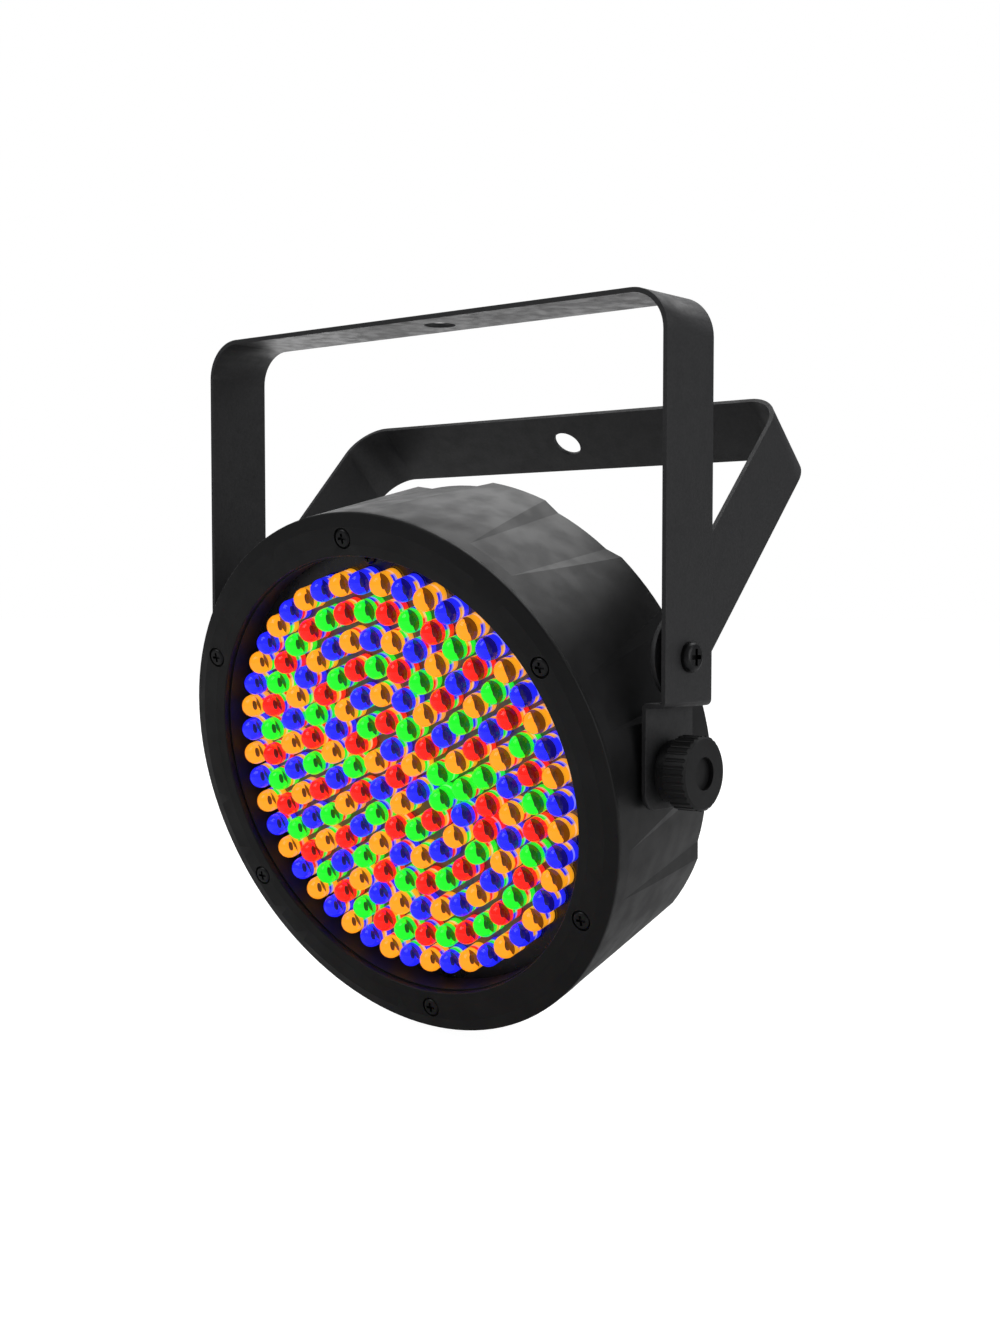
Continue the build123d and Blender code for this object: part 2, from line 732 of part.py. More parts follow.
def menu_button(x):
    """Round key cap with a collar that keeps it behind the panel."""
    with BuildPart() as cap:
        with BuildSketch(back_at((x, BUTTON_Y), -BUTTON_DEPTH)):
            Circle(BUTTON_RADIUS)
        extrude(amount=BUTTON_DEPTH + 2.2)
        fillet(cap.edges().filter_by(GeomType.CIRCLE).group_by(axis_of(REAR))[-1], 0.8)
        with BuildSketch(back_at((x, BUTTON_Y), -COVER - 0.1)):
            Circle(BUTTON_RADIUS + 1.1)
        extrude(amount=-1.0)
    return cap.part


def display_module():
    with BuildPart() as module:
        with BuildSketch(back_at(DISPLAY_AT, -COVER - CONTROL_GAP)):
            Rectangle(50.2, 19)
        extrude(amount=CONTROL_GAP - 1.0)
    return module.part


def display_window():
    """Clear smoked pane with a flange behind the panel."""
    with BuildPart() as window:
        with BuildSketch(back_at(DISPLAY_AT, -COVER)):
            Rectangle(54, 22)
        extrude(amount=-1.0)
        with BuildSketch(back_at(DISPLAY_AT, -COVER)):
            Rectangle(WINDOW_SIZE[0] - 0.1, WINDOW_SIZE[1] - 0.1)
        extrude(amount=COVER - 0.3)
    return window.part


def ir_receiver():
    with BuildPart() as eye:
        with BuildSketch(back_at(IR_AT, -COVER - CONTROL_GAP)):
            Circle(3.0)
        extrude(amount=CONTROL_GAP + COVER - 0.5)
        with BuildSketch(back_at(IR_AT, -0.5)):
            Circle(3.0)
        extrude(amount=1.3, taper=30)
    return eye.part


# ---------------------------------------------------------------- sockets

PIN_CIRCLE = 4.75
PIN_SPOTS = [(PIN_CIRCLE, 0), (-PIN_CIRCLE, 0), (0, -PIN_CIRCLE)]
LATCH_AT = shifted(DMX_OUT_AT, 0, 12.2)
LATCH_SIZE = (6.2, 3.6)
SOCKET_DEPTH = 20.0
SWITCH_DEPTH = 16.0
FUSE_DEPTH = 28.0
FLANGE = 2.0


def dmx_body(spot):
    """Round connector body behind a square flange, before its own details."""
    with BuildPart() as body:
        with BuildSketch(back_at(spot)):
            RectangleRounded(26, 31, 2.5)
        extrude(amount=FLANGE)
        with BuildSketch(back_at(spot)):
            Circle(DMX_RADIUS)
        extrude(amount=-SOCKET_DEPTH)
        with BuildSketch(back_at(spot)):
            with Locations((9.5, 12), (-9.5, -12)):
                Circle(1.7)
        extrude(amount=FLANGE, mode=Mode.SUBTRACT)
    return body.part


def dmx_in_socket():
    """Three-pole socket with standing pins in a round well."""
    body = dmx_body(DMX_IN_AT)
    with BuildPart() as socket:
        add(body)
        with BuildSketch(back_at(DMX_IN_AT, FLANGE)):
            Circle(9.4)
        extrude(amount=-FLANGE - 14.0, mode=Mode.SUBTRACT)
    return socket.part


def dmx_out_socket():
    """Three-pole socket with contact holes and a slot for the release latch."""
    body = dmx_body(DMX_OUT_AT)
    with BuildPart() as socket:
        add(body)
        with BuildSketch(back_at(DMX_OUT_AT, FLANGE)):
            Circle(9.6)
            Circle(7.6, mode=Mode.SUBTRACT)
        extrude(amount=-12.0, mode=Mode.SUBTRACT)
        with BuildSketch(back_at(DMX_OUT_AT, FLANGE)):
            with Locations(*PIN_SPOTS):
                Circle(1.4)
        extrude(amount=-12.0, mode=Mode.SUBTRACT)
        with BuildSketch(back_at(LATCH_AT, FLANGE)):
            Rectangle(LATCH_SIZE[0] + 2 * RUNNING, LATCH_SIZE[1] + 2 * RUNNING)
        extrude(amount=-FLANGE - 5.0, mode=Mode.SUBTRACT)
    return socket.part


def dmx_out_latch():
    """Release tab that is pressed in to free a plug."""
    with BuildPart() as latch:
        with BuildSketch(back_at(LATCH_AT, FLANGE + 1.4)):
            Rectangle(*LATCH_SIZE)
        extrude(amount=-4.8)
        fillet(latch.faces().sort_by(axis_of(REAR))[-1].edges(), 0.5)
    return latch.part


def power_inlet():
    """Mains inlet: flange, body and an open well with its lower corners cut."""
    with BuildPart() as inlet:
        with BuildSketch(back_at(INLET_AT)):
            RectangleRounded(48, 24, 4)
            with Locations((20, 0), (-20, 0)):
                Circle(1.7, mode=Mode.SUBTRACT)
        extrude(amount=FLANGE)
        with BuildSketch(back_at(INLET_AT)):
            Rectangle(*INLET_SIZE)
        extrude(amount=-SOCKET_DEPTH)
        with BuildSketch(back_at(INLET_AT, FLANGE)):
            with BuildLine():
                Polyline((-12, -3.5), (-7.5, -8), (7.5, -8), (12, -3.5), (12, 8), (-12, 8), close=True)
            make_face()
        extrude(amount=-FLANGE - 15.0, mode=Mode.SUBTRACT)
    return inlet.part


def socket_pins():
    """Contact pins of the signal inlet and the three blades of the mains inlet."""
    with BuildPart() as pins:
        with BuildSketch(back_at(DMX_IN_AT, -14.0)):
            with Locations(*PIN_SPOTS):
                Circle(1.2)
        extrude(amount=13.0)
        with BuildSketch(back_at(INLET_AT, -15.0)):
            with Locations((-7, 2), (7, 2), (0, -2.5)):
                Rectangle(2, 4)
        extrude(amount=13.0)
        fillet(pins.edges().group_by(axis_of(REAR))[-1], 0.4)
    return pins.part


def socket_screws():
    return screws([back_at(spot, FLANGE) for spot in SOCKET_SCREWS], 2.6, 1.5, 1.25, 8.0)


ROCKER_SWING = 18.0  # degrees from off to on
ROCKER_HALF = 5.2
ROCKER_PIN = 0.9
ROCKER_PLANE = Plane(origin=back_at(SWITCH_AT).origin, x_dir=REAR.y_dir, z_dir=(1, 0, 0))


def power_switch_frame():
    """Snap-in frame with an open well and two pin holes for the rocker."""
    with BuildPart() as frame:
        with BuildSketch(back_at(SWITCH_AT)):
            RectangleRounded(15, 21.5, 1)
        extrude(amount=1.8)
        with BuildSketch(back_at(SWITCH_AT)):
            Rectangle(*SWITCH_SIZE)
        extrude(amount=-SWITCH_DEPTH)
        with BuildSketch(back_at(SWITCH_AT, 1.8)):
            Rectangle(2 * ROCKER_HALF + 0.4, 17.6)
        extrude(amount=-7.5, mode=Mode.SUBTRACT)
        with BuildSketch(ROCKER_PLANE):
            Circle(ROCKER_PIN + RUNNING)
        extrude(amount=ROCKER_HALF + 0.9, both=True, mode=Mode.SUBTRACT)
    return frame.part


def power_rocker():
    """Rocker with a shallow V face on two pins, resting with its lower end out."""
    with BuildPart() as rocker:
        with BuildSketch(ROCKER_PLANE):
            with BuildLine():
                Polyline((-8.2, -1.8), (8.2, -1.8), (8.2, 3.6), (0, 2.2), (-8.2, 3.6), close=True)
            make_face()
            fillet(vertices(), 0.5)
        extrude(amount=ROCKER_HALF, both=True)
        with BuildSketch(ROCKER_PLANE):
            Circle(ROCKER_PIN)
        extrude(amount=ROCKER_HALF + 0.8, both=True)
    return rocker.part.rotate(Axis(ROCKER_PLANE.origin, (1, 0, 0)), -ROCKER_SWING / 2)


def fuse_holder():
    with BuildPart() as holder:
        with BuildSketch(back_at(FUSE_AT)):
            Circle(8.5)
        extrude(amount=1.8)
        with BuildSketch(back_at(FUSE_AT)):
            Circle(6.1)
        extrude(amount=-FUSE_DEPTH)
        with BuildSketch(back_at(FUSE_AT, 1.8)):
            Circle(4.8)
        extrude(amount=-7.0, mode=Mode.SUBTRACT)
        with BuildSketch(back_at(FUSE_AT)):
            Circle(2.7)
        extrude(amount=-26.0, mode=Mode.SUBTRACT)
    return holder.part


def fuse():
    with BuildPart() as tube:
        with BuildSketch(back_at(FUSE_AT, -26.0)):
            Circle(2.55)
        extrude(amount=20.0)
    return tube.part


def fuse_cap():
    """Bayonet cap with a screwdriver slot."""
    with BuildPart() as cap:
        with BuildSketch(back_at(FUSE_AT, 1.9)):
            Circle(7.2)
        extrude(amount=4.5)
        fillet(cap.edges().group_by(axis_of(REAR))[-1], 0.8)
        with BuildSketch(back_at(FUSE_AT, 1.9)):
            Circle(4.8 - RUNNING)
        extrude(amount=-6.0)
        with BuildSketch(back_at(FUSE_AT, 6.4)):
            Rectangle(9, 1.4)
        extrude(amount=-1.2, mode=Mode.SUBTRACT)
    return cap.part


# ---------------------------------------------------------------- safety point

SAFETY_SHEET = 2.5
SAFETY_REACH = 18.0  # hole centre beyond the rear face
SAFETY_HOLE = 5.0


def safety_bracket():
    """Angle bracket with a round eye for the safety cable."""
    fin = SAFETY_SHEET
    side = back_at(shifted(SAFETY_AT, 8.0, 0))
    fin_plane = Plane(origin=side.origin, x_dir=side.z_dir, z_dir=side.x_dir)
    with BuildPart() as bracket:
        with BuildSketch(back_at(SAFETY_AT)):
            with Locations((1.5, 0)):
                RectangleRounded(18, 18, 2)
            Circle(2.15, mode=Mode.SUBTRACT)
        extrude(amount=fin)
        with BuildSketch(fin_plane):
            with Locations((SAFETY_REACH / 2, 0)):
                Rectangle(SAFETY_REACH, 18)
            with Locations((SAFETY_REACH, 0)):
                Circle(9)
                Circle(SAFETY_HOLE, mode=Mode.SUBTRACT)
        extrude(amount=fin)
    return bracket.part


def safety_screw():
    """Screw with its nut behind the panel, as two solids."""
    head_seat = back_at(SAFETY_AT, SAFETY_SHEET)
    screw = screws([head_seat], 3.6, 2.4, 2.0, 9.0)
    with BuildPart() as pair:
        add(screw)
        with BuildSketch(back_at(SAFETY_AT, -COVER)):
            RegularPolygon(radius=3.5, side_count=6, major_radius=False)
            Circle(2.02, mode=Mode.SUBTRACT)
        extrude(amount=-3.2)
    return pair.part


# ---------------------------------------------------------------- cables


def cable(points, radius, leave, arrive):
    """Round cable along points in drum axes; leave and arrive are its directions along the beam."""
    with BuildPart() as lead:
        with BuildLine() as path:
            Spline(
                *[DRUM.from_local_coords(p) for p in points],
                tangents=(DRUM.z_dir * leave, DRUM.z_dir * arrive),
            )
        with BuildSketch(Plane(origin=path.line @ 0, z_dir=path.line % 0)):
            Circle(radius)
        sweep()
    return lead.part


def led_harness():
    """Lead from the control board through the inner plate to the LED board."""
    start = BACK + COVER + CONTROL_GAP + BOARD
    end = BOARD_BACK - 6.0
    return cable([(-2, 9, start), (-1, 6, -18), (1, 0, -6), (4, 0, 4.4), (10, 0, end)], 2.0, 1, 1)


def mains_wiring():
    """Inlet to fuse, fuse to switch, switch and inlet to power supply, and earth to the inner plate."""
    inlet = BACK + SOCKET_DEPTH
    switch = BACK + SWITCH_DEPTH
    holder = BACK + FUSE_DEPTH
    leads = [
        cable([(-37, -18, inlet), (-42, -10, -11), (-52, 4, -6), (-57.5, 12, holder)], 1.2, 1, -1),
        cable([(-61.5, 16, holder), (-65, 8, -7), (-68, -6, -13), (-66, -16, switch)], 1.2, 1, -1),
        cable([(-66, -24, switch), (-63, -23, -8), (-49, -8, -1), (-41, 6, -7), (-41, 14, PSU_BACK)], 1.2, 1, 1),
        cable([(-23, -18, inlet), (-22, -14, -10), (-27, 4, -8), (-30, 12, PSU_BACK)], 1.2, 1, 1),
        cable([(-30, -24, inlet), (-31, -26, -8), (-30, -29, CHASSIS_BACK)], 1.2, 1, 1),
    ]
    with BuildPart() as wiring:
        for lead in leads:
            add(lead)
    return wiring.part


# ---------------------------------------------------------------- write every piece

PIECES = {
    "main_yoke": main_yoke,
    "kickstand_yoke": kickstand_yoke,
    "pivot_bolts": pivot_bolts,
    "pivot_spacers": pivot_spacers,
    "pivot_washers": pivot_washers,
    "pivot_nuts": pivot_nuts,
    "knob_washers": knob_washers,
    "knob_grip_left": lambda: knob_grip(-1),
    "knob_grip_right": lambda: knob_grip(1),
    "knob_stud_left": lambda: knob_stud(-1),
    "knob_stud_right": lambda: knob_stud(1),
    "tilt_inserts": tilt_inserts,
    "tilt_friction_washers": tilt_friction_washers,
    "drum_shell": drum_shell,
    "front_bezel": front_bezel,
    "bezel_screws": bezel_screws,
    "led_sleeve": led_sleeve,
    "leds_red": lambda: leds("R"),
    "leds_green": lambda: leds("G"),
    "leds_blue": lambda: leds("B"),
    "leds_amber": lambda: leds("A"),
    "led_board": led_board,
    "led_board_screws": led_board_screws,
    "led_board_components": led_board_components,
    "chassis_plate": chassis_plate,
    "chassis_screws": chassis_screws,
    "psu_standoffs": psu_standoffs,
    "power_supply_board": power_supply_board,
    "psu_transformer": psu_transformer,
    "psu_capacitors": psu_capacitors,
    "battery_pack": battery_pack,
    "battery_strap": battery_strap,
    "rear_cover": rear_cover,
    "cover_screws": cover_screws,
    "control_board": control_board,
    "button_switches": button_switches,
    "display_module": display_module,
    "display_window": display_window,
    "ir_receiver": ir_receiver,
    "dmx_in_socket": dmx_in_socket,
    "dmx_out_socket": dmx_out_socket,
    "dmx_out_latch": dmx_out_latch,
    "power_inlet": power_inlet,
    "socket_pins": socket_pins,
    "socket_screws": socket_screws,
    "power_switch_frame": power_switch_frame,
    "power_rocker": power_rocker,
    "fuse_holder": fuse_holder,
    "fuse": fuse,
    "fuse_cap": fuse_cap,
    "safety_bracket": safety_bracket,
    "safety_screw": safety_screw,
    "led_harness": led_harness,
    "mains_wiring": mains_wiring,
}
for number, x in enumerate(BUTTON_XS, start=1):
    PIECES[f"menu_button_{number}"] = lambda x=x: menu_button(x)

os.makedirs("parts", exist_ok=True)
for name, make in PIECES.items():
    piece = make()
    piece.label = name
    export_step(piece, f"parts/{name}.step")
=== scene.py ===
import json
import math

import bpy
import numpy as np
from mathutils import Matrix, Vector


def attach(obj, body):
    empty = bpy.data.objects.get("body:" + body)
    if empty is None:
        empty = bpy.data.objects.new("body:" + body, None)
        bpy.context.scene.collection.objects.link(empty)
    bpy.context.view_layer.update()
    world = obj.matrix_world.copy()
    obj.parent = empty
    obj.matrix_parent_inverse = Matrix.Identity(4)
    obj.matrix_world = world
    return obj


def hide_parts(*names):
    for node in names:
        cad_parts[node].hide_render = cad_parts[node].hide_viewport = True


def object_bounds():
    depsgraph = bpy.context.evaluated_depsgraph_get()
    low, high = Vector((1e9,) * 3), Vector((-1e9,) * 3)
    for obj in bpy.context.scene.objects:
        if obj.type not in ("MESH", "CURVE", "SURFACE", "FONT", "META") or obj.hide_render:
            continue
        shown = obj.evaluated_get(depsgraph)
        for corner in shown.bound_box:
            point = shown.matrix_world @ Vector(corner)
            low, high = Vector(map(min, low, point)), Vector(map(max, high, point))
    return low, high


# Looks of the LED par light. Metres, in the CAD frame: the origin is the hang hole, +Z is up and the
# beam points to -Y. The drum has its own axes: ACROSS, UP_FACE and BEAM.

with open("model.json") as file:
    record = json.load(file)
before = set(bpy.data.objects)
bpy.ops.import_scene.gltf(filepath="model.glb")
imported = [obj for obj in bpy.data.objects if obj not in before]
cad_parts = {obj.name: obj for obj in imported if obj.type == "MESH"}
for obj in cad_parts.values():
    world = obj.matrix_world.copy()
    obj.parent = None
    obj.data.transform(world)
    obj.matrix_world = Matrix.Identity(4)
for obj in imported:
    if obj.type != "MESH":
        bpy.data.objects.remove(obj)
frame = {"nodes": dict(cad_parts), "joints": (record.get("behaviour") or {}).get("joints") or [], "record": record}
cad_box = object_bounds()

MM = 0.001
NODES = frame["nodes"]
JOINTS = {joint["name"]: joint for joint in frame["joints"]}
BEAM = Vector(JOINTS["menu_button_1_press"]["axis"]).normalized()
ACROSS = Vector((1, 0, 0))
UP_FACE = BEAM.cross(ACROSS)
DRUM_AT = Vector(JOINTS["drum_tilt"]["pos_m"])


def drum_point(x, y, z):
    """Point in the row frame from drum axes, in metres."""
    return DRUM_AT + ACROSS * x + UP_FACE * y + BEAM * z


def in_drum(vertices):
    """Vertex positions as an array in drum axes."""
    offsets = np.array([v.co[:] for v in vertices]) - np.array(DRUM_AT)
    return offsets @ np.array([ACROSS, UP_FACE, BEAM]).T


# ---------------------------------------------------------------- materials

TINT = "tint"
NOISE_MIDDLE = (0.35, 0.65)
ROUNDED_FROM, ROUNDED_FULLY = 0.98, 0.8


class Look:
    """A Principled material that is built up in steps."""

    def __init__(self, name, colour, roughness, metallic=0.0, specular=0.5):
        self.material = bpy.data.materials.new(name)
        self.material.use_nodes = True
        self.tree = self.material.node_tree
        self.shader = self.tree.nodes["Principled BSDF"]
        self.coords = self.add("ShaderNodeTexCoord").outputs["Object"]
        self.colour = self.rgb(colour)
        self.set("Base Color", (*colour, 1))
        self.set("Roughness", roughness)
        self.set("Metallic", metallic)
        self.set("Specular IOR Level", specular)

    def add(self, kind, **settings):
        node = self.tree.nodes.new(kind)
        for name, value in settings.items():
            setattr(node, name, value)
        return node

    def link(self, output, node_input):
        self.tree.links.new(output, node_input)

    def set(self, name, value):
        self.shader.inputs[name].default_value = value

    def rgb(self, colour):
        node = self.add("ShaderNodeRGB")
        node.outputs[0].default_value = (*colour, 1)
        return node.outputs[0]

    def noise(self, size, detail=2.0):
        """Noise whose features are about size metres across."""
        node = self.add("ShaderNodeTexNoise")
        node.inputs["Scale"].default_value = 1 / size
        node.inputs["Detail"].default_value = detail
        self.link(self.coords, node.inputs["Vector"])
        return node.outputs["Fac"]

    def spread(self, factor, low, high):
        """Maps the useful middle of a noise to a range of values."""
        node = self.add("ShaderNodeMapRange")
        node.inputs["From Min"].default_value, node.inputs["From Max"].default_value = NOISE_MIDDLE
        node.inputs["To Min"].default_value = low
        node.inputs["To Max"].default_value = high
        self.link(factor, node.inputs["Value"])
        return node.outputs[0]

    def mix(self, factor, a, b):
        node = self.add("ShaderNodeMix", data_type="RGBA")
        self.link(factor, node.inputs["Factor"])
        self.link(a, node.inputs["A"])
        self.link(b, node.inputs["B"])
        return node.outputs["Result"]

    def grain(self, size, depth, detail=2.0):
        """Surface texture as bump."""
        bump = self.add("ShaderNodeBump")
        bump.inputs["Distance"].default_value = depth
        self.link(self.noise(size, detail), bump.inputs["Height"])
        self.link(bump.outputs[0], self.shader.inputs["Normal"])
        return self

    def roughness(self, size, low, high):
        """Handling marks and uneven sheen."""
        self.link(self.spread(self.noise(size), low, high), self.shader.inputs["Roughness"])
        return self

    def tone(self, size, other):
        """Slow drift between the base colour and another."""
        factor = self.spread(self.noise(size), 0, 1)
        self.colour = self.mix(factor, self.colour, self.rgb(other))
        self.link(self.colour, self.shader.inputs["Base Color"])
        return self

    def edges(self, radius, other, strength):
        """Painted edge highlight, with a little rubbing: another tone where the surface turns within radius."""
        bevel = self.add("ShaderNodeBevel", samples=4)
        bevel.inputs["Radius"].default_value = radius
        flat = self.add("ShaderNodeNewGeometry").outputs["Normal"]
        dot = self.add("ShaderNodeVectorMath", operation="DOT_PRODUCT")
        self.link(bevel.outputs[0], dot.inputs[0])
        self.link(flat, dot.inputs[1])
        # Mask of the painted edge highlight, partly rubbing: strongest where the surface turns most.
        highlight_mask = self.add("ShaderNodeMapRange")
        highlight_mask.inputs["From Min"].default_value = ROUNDED_FROM
        highlight_mask.inputs["From Max"].default_value = ROUNDED_FULLY
        highlight_mask.inputs["To Max"].default_value = strength
        self.link(dot.outputs["Value"], highlight_mask.inputs["Value"])
        self.colour = self.mix(highlight_mask.outputs[0], self.colour, self.rgb(other))
        self.link(self.colour, self.shader.inputs["Base Color"])
        return self

    def disc(self, radius, other):
        """Another colour within radius of the drum's axis."""
        offset = self.add("ShaderNodeVectorMath", operation="SUBTRACT")
        self.link(self.coords, offset.inputs[0])
        offset.inputs[1].default_value = DRUM_AT
        across = self.add("ShaderNodeVectorMath", operation="CROSS_PRODUCT")
        self.link(offset.outputs[0], across.inputs[0])
        across.inputs[1].default_value = BEAM
        length = self.add("ShaderNodeVectorMath", operation="LENGTH")
        self.link(across.outputs[0], length.inputs[0])
        inside = self.add("ShaderNodeMath", operation="LESS_THAN")
        self.link(length.outputs["Value"], inside.inputs[0])
        inside.inputs[1].default_value = radius
        self.colour = self.mix(inside.outputs[0], self.colour, self.rgb(other))
        self.link(self.colour, self.shader.inputs["Base Color"])
        return self

    def glow(self, colour, strength):
        """Light of its own, of one colour."""
        self.set("Emission Color", (*colour, 1))
        self.set("Emission Strength", strength)
        return self

    def painted(self, strength):
        """Takes colour and glow from the mesh's own tint attribute."""
        tint = self.add("ShaderNodeAttribute", attribute_name=TINT).outputs["Color"]
        self.colour = tint
        self.link(tint, self.shader.inputs["Base Color"])
        self.link(tint, self.shader.inputs["Emission Color"])
        self.set("Emission Strength", strength)
        return self


def black_plastic(name, tone, roughness, edge_tone=None):
    """Moulded black plastic with a fine spark-eroded grain."""
    look = Look(name, (tone, tone, tone * 1.04), roughness, specular=0.4)
    look.tone(30 * MM, (tone * 1.25, tone * 1.25, tone * 1.3))
    # Lighter edges: a painted highlight along every sharp edge, partly rubbing of the plastic.
    edge_highlight_grey = edge_tone or tone * 2.2
    look.edges(0.5 * MM, (edge_highlight_grey, edge_highlight_grey, edge_highlight_grey), 0.6)
    return look.grain(0.35 * MM, 0.02 * MM).roughness(12 * MM, roughness - 0.05, roughness + 0.06)


def powder_coat(name, tone):
    """Fine-textured black powder coat on steel sheet."""
    look = Look(name, (tone, tone, tone * 1.03), 0.45, specular=0.45)
    look.tone(1.2 * MM, (tone * 1.25, tone * 1.25, tone * 1.3))
    # Lighter edges: a painted highlight along the strap edges, partly worn coat.
    look.edges(0.4 * MM, (tone * 3.0, tone * 3.0, tone * 3.1), 0.7)
    return look.grain(0.55 * MM, 0.05 * MM, 4.0).roughness(6 * MM, 0.4, 0.52)


def steel(name, tone, roughness):
    """Bare, plated or blackened metal with faint mottling."""
    look = Look(name, (tone, tone, tone * 1.02), roughness, metallic=1.0)
    look.tone(4 * MM, (tone * 0.8, tone * 0.8, tone * 0.84))
    return look.grain(0.3 * MM, 0.01 * MM, 3.0).roughness(2 * MM, roughness - 0.06, roughness + 0.08)


def coloured(name, colour, roughness):
    """Plain painted, sleeved or masked surface with slight mottling."""
    darker = tuple(0.75 * c for c in colour)
    look = Look(name, colour, roughness).tone(3 * MM, darker)
    return look.grain(0.5 * MM, 0.02 * MM).roughness(5 * MM, roughness - 0.05, roughness + 0.05)


PRINTED_RADIUS = 87 * MM
PRINTED_GREY = (0.16, 0.155, 0.15)
CLEAR_SHARE = 0.9

MATERIALS = {
    "powder_black": powder_coat("powder_black", 0.034),
    "housing_black": black_plastic("housing_black", 0.012, 0.4),
    # The bezel's edge tone 0.09 paints a bright highlight line along its outer edge and lip.
    "bezel_black": black_plastic("bezel_black", 0.006, 0.5, 0.09),
    "sleeve_black": black_plastic("sleeve_black", 0.012, 0.45),
    "knob_black": black_plastic("knob_black", 0.009, 0.45),
    "screw_black": steel("screw_black", 0.05, 0.36),
    "zinc_steel": steel("zinc_steel", 0.55, 0.35),
    "nylon_black": black_plastic("nylon_black", 0.014, 0.4),
    "brass": coloured("brass", (0.75, 0.55, 0.22), 0.3),
    "rubber_black": coloured("rubber_black", (0.012, 0.012, 0.012), 0.75),
    "board_black": coloured("board_black", (0.01, 0.011, 0.011), 0.3),
    "board_green": coloured("board_green", (0.01, 0.12, 0.05), 0.35),
    "chips": coloured("chips", (0.02, 0.02, 0.02), 0.5),
    "can_blue": coloured("can_blue", (0.02, 0.06, 0.2), 0.35),
    "battery_sleeve": coloured("battery_sleeve", (0.03, 0.12, 0.4), 0.3),
    "cover_black": powder_coat("cover_black", 0.013),
    "key_black": black_plastic("key_black", 0.02, 0.5),
    "rocker_black": black_plastic("rocker_black", 0.01, 0.22),
    "socket_black": black_plastic("socket_black", 0.014, 0.5),
    "display_dark": coloured("display_dark", (0.03, 0.004, 0.004), 0.2),
    "window_clear": coloured("window_clear", (0.35, 0.25, 0.25), 0.05),
    "fuse_glass": coloured("fuse_glass", (0.8, 0.85, 0.85), 0.05),
    "cable_black": coloured("cable_black", (0.012, 0.012, 0.012), 0.55),
    "cable_brown": coloured("cable_brown", (0.12, 0.04, 0.015), 0.5),
}
MATERIALS["brass"].set("Metallic", 1.0)
MATERIALS["board_black"].disc(PRINTED_RADIUS, PRINTED_GREY)
MATERIALS["window_clear"].set("Transmission Weight", CLEAR_SHARE)
MATERIALS["fuse_glass"].set("Transmission Weight", CLEAR_SHARE)

# ---------------------------------------------------------------- CAD pieces


WELD_GAP = 0.002 * MM
FLAT_WITHIN = math.radians(0.2)
HARD_EDGE = math.radians(32)


def assign(piece, look):
    piece.data.materials.clear()
    piece.data.materials.append(look.material)


def repaint_cad():
    """Every CAD node takes the finish its slot names."""
    for part in frame["record"]["subparts"]:
        slot = part["material_slot"]
        if slot in MATERIALS:
            assign(NODES[part["node"]], MATERIALS[slot])


def soften(name, width, merge_flats):
    """Rolls a CAD node's hard edges over so that they catch the light.

    merge_flats joins the triangles of each flat side first, which suits bent strip but not a ring."""
    piece = NODES[name]
    weld = piece.modifiers.new("weld", "WELD")
    weld.merge_threshold = WELD_GAP
    if merge_flats:
        flats = piece.modifiers.new("flats", "DECIMATE")
        flats.decimate_type = "DISSOLVE"
        flats.angle_limit = FLAT_WITHIN
    bevel = piece.modifiers.new("bevel", "BEVEL")
    bevel.width = width
    bevel.segments = 2
    bevel.limit_method = "ANGLE"
    bevel.angle_limit = HARD_EDGE
    bevel.harden_normals = True


# ---------------------------------------------------------------- LEDs

LED_COLOURS = {
    "red": (1.0, 0.022, 0.012),
    "green": (0.02, 0.9, 0.035),
    "blue": (0.025, 0.03, 1.0),
    "amber": (1.0, 0.46, 0.02),
}
LED_SEGMENTS = 36
LED_RADIUS = 5.0 * MM
LED_FLANGE = 5.5 * MM
FLANGE_HEIGHT = 1.0 * MM
FLANGE_ROLL = 0.15 * MM
DOME_STEPS = 10
LENS_TINT = 0.3
# The cores' outer bands are painted: reflections of neighbours within NEIGHBOUR_REACH, and pale highlight bands
# whitened by PALE_SHARE.
NEIGHBOUR_REACH = 15.5 * MM
NEIGHBOUR_FACING = 0.6
PALE_SHARE = 0.3
WHITE = (1, 1, 1)
# BROWN and BROWN_TINT colour the lead frames: partly painted shade for the dark patch in each dome.
BROWN = (0.03, 0.012, 0.008)
BROWN_TINT = 0.12
# Emission of the cores and lead frames: painted light standing in for studio light coming back through the tinted
# lenses.
CORE_GLOW, FRAME_GLOW = 0.78, 0.14


def led_places(node):
    """Axis points (x, y), base and tip heights of every LED in a CAD group, in drum axes."""
    points = in_drum(NODES[node].data.vertices)
    base, tip = points[:, 2].min(), points[:, 2].max()
    tips = points[points[:, 2] > tip - 0.01 * MM][:, :2]
    return np.unique(np.round(tips, 5), axis=0), base, tip


def mesh_piece(name, vertices, faces, look, tints=None, smooth=True):
    """One object with one material and, if given, a tint for every vertex."""
    mesh = bpy.data.meshes.new(name)
    mesh.from_pydata(vertices, [], faces)
    piece = bpy.data.objects.new(name, mesh)
    bpy.context.scene.collection.objects.link(piece)
    assign(piece, look)
    mesh.polygons.foreach_set("use_smooth", [smooth] * len(faces))
    if tints:
        colours = mesh.color_attributes.new(TINT, "FLOAT_COLOR", "POINT")
        colours.data.foreach_set("color", [c for tint in tints for c in (*tint, 1)])
    mesh.update()
    return piece


